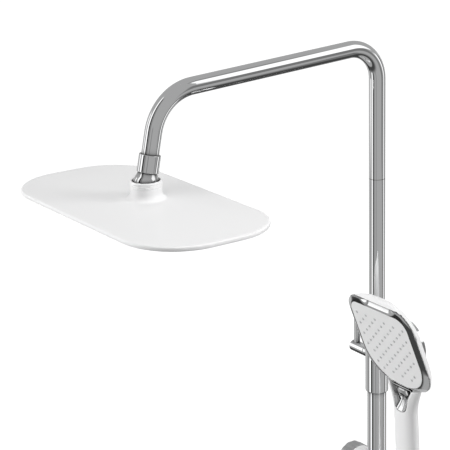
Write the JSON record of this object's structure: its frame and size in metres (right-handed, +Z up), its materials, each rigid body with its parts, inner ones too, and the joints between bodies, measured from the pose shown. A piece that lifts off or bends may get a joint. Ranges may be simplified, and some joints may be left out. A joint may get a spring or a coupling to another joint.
{
  "type": "rainfall shower column",
  "caption": "Telescopic wall shower column with a gooseneck arm, a rounded-rectangle rain head on a ball joint and a hand shower in a sliding holder",
  "frame": {"origin": "centre of the upper wall plate, on the wall face", "axes": "+Z up along the riser, +Y into the wall, +X along the wall to the right of a user who faces it"},
  "size_m": [0.342, 0.4664, 1.022],
  "materials": {
    "chrome_plating": "mirror-polished chrome on brass tube and castings",
    "bright_trim": "chrome-plated plastic",
    "satin_trim": "satin grey plated plastic",
    "white_plastic": "satin-gloss white plastic",
    "grey_plastic": "moulded grey plastic",
    "nozzle_silicone": "soft grey silicone",
    "seal_rubber": "black rubber",
    "guide_plastic": "natural low-friction plastic",
    "turned_brass": "turned brass",
    "plain_steel": "plain stainless steel"
  },
  "bodies": {
    "column": {"lower_riser_tube": "chrome_plating", "clamp_sleeve": "chrome_plating", "guide_bush": "guide_plastic", "upper_bracket_post": "chrome_plating", "upper_rosette": "chrome_plating", "upper_wall_plate": "plain_steel", "upper_grub_screw": "plain_steel", "lower_bracket_post": "chrome_plating", "lower_rosette": "chrome_plating", "lower_wall_plate": "plain_steel", "lower_grub_screw": "plain_steel", "diverter_body": "chrome_plating", "gland_nut": "chrome_plating", "gland_seal": "seal_rubber", "diverter_cartridge": "guide_plastic", "inlet_nipple": "chrome_plating", "outlet_nipple": "chrome_plating"},
    "upper_pipe": {"upper_riser_tube": "chrome_plating", "telescope_piston": "turned_brass", "telescope_seal": "seal_rubber", "arm_union": "turned_brass", "union_seal": "seal_rubber"},
    "arm": {"gooseneck_arm": "chrome_plating", "stem_nut": "chrome_plating", "stem_washer": "seal_rubber", "swivel_ball": "chrome_plating"},
    "seat_ring": {"ball_seat_ring": "guide_plastic"},
    "seat_cup": {"ball_seat_cup": "guide_plastic"},
    "rain_head": {"ball_collar": "white_plastic", "rain_cover": "white_plastic", "rain_spray_plate": "grey_plastic", "rain_nozzle_mat": "nozzle_silicone", "rain_gasket": "seal_rubber"},
    "clamp_lever": {"lever_hub": "chrome_plating", "lever_post": "chrome_plating", "clamp_stud": "plain_steel"},
    "slider_sleeve": {"slider_bush": "guide_plastic"},
    "slider": {"slider_body": "white_plastic", "axle_pin": "plain_steel"},
    "slider_clamp": {"slider_knob": "satin_trim", "knob_stud": "plain_steel"},
    "holder": {"holder_cone": "white_plastic", "holder_axle": "plain_steel"},
    "hand_shower": {"hand_shell": "white_plastic", "hand_bezel": "bright_trim", "hand_face": "white_plastic", "hand_nozzle_mat": "nozzle_silicone", "neck_trim": "bright_trim", "hand_inlet": "chrome_plating"},
    "selector": {"selector_button": "bright_trim", "button_spring": "plain_steel"},
    "diverter_handle": {"diverter_knob": "chrome_plating", "diverter_spindle": "turned_brass"}
  },
  "joints": [
    {"name": "telescope_slide", "type": "slide", "parent": "column", "child": "upper_pipe", "axis": [0, 0, 1], "range_m": [-0.13, 0.06]},
    {"name": "arm_swivel", "type": "hinge", "parent": "upper_pipe", "child": "arm", "pos_m": [0, -0.048, 0.23], "axis": [0, 0, 1], "range_deg": [-45, 45]},
    {"name": "head_tilt_side", "type": "hinge", "parent": "arm", "child": "seat_ring", "pos_m": [0, -0.37338, 0.28285], "axis": [0, 1, 0], "range_deg": [-6, 6]},
    {"name": "head_tilt_front", "type": "hinge", "parent": "seat_ring", "child": "seat_cup", "pos_m": [0, -0.37338, 0.28285], "axis": [-1, 0, 0], "range_deg": [0, 20]},
    {"name": "head_swivel", "type": "hinge", "parent": "seat_cup", "child": "rain_head", "pos_m": [0, -0.37338, 0.28285], "axis": [0, 0, 1], "continuous": true},
    {"name": "clamp_lever_turn", "type": "hinge", "parent": "column", "child": "clamp_lever", "pos_m": [-0.03, -0.048, 0], "axis": [1, 0, 0], "range_deg": [0, 90]},
    {"name": "slider_height", "type": "slide", "parent": "column", "child": "slider_sleeve", "axis": [0, 0, 1], "range_m": [-0.25, 0.07]},
    {"name": "slider_swivel", "type": "hinge", "parent": "slider_sleeve", "child": "slider", "pos_m": [0, -0.048, -0.156], "axis": [0, 0, 1], "range_deg": [-20, 20]},
    {"name": "slider_knob_turn", "type": "hinge", "parent": "slider", "child": "slider_clamp", "pos_m": [-0.044, -0.048, -0.156], "axis": [1, 0, 0], "range_deg": [-90, 90]},
    {"name": "holder_tilt", "type": "hinge", "parent": "slider", "child": "holder", "pos_m": [0.04, -0.048, -0.156], "axis": [1, 0, 0], "range_deg": [0, 35]},
    {"name": "hand_shower_lift", "type": "slide", "parent": "holder", "child": "hand_shower", "axis": [0, -0.0567, 0.9984], "range_m": [0, 0.08]},
    {"name": "selector_press", "type": "slide", "parent": "hand_shower", "child": "selector", "axis": [0, 0.9984, 0.0567], "range_m": [0, 0.0012], "stiffness_N_per_m": 700, "springref_m": -0.002},
    {"name": "diverter_turn", "type": "hinge", "parent": "column", "child": "diverter_handle", "pos_m": [0, -0.078, -0.572], "axis": [0, 1, 0], "range_deg": [-90, 90]}
  ]
}
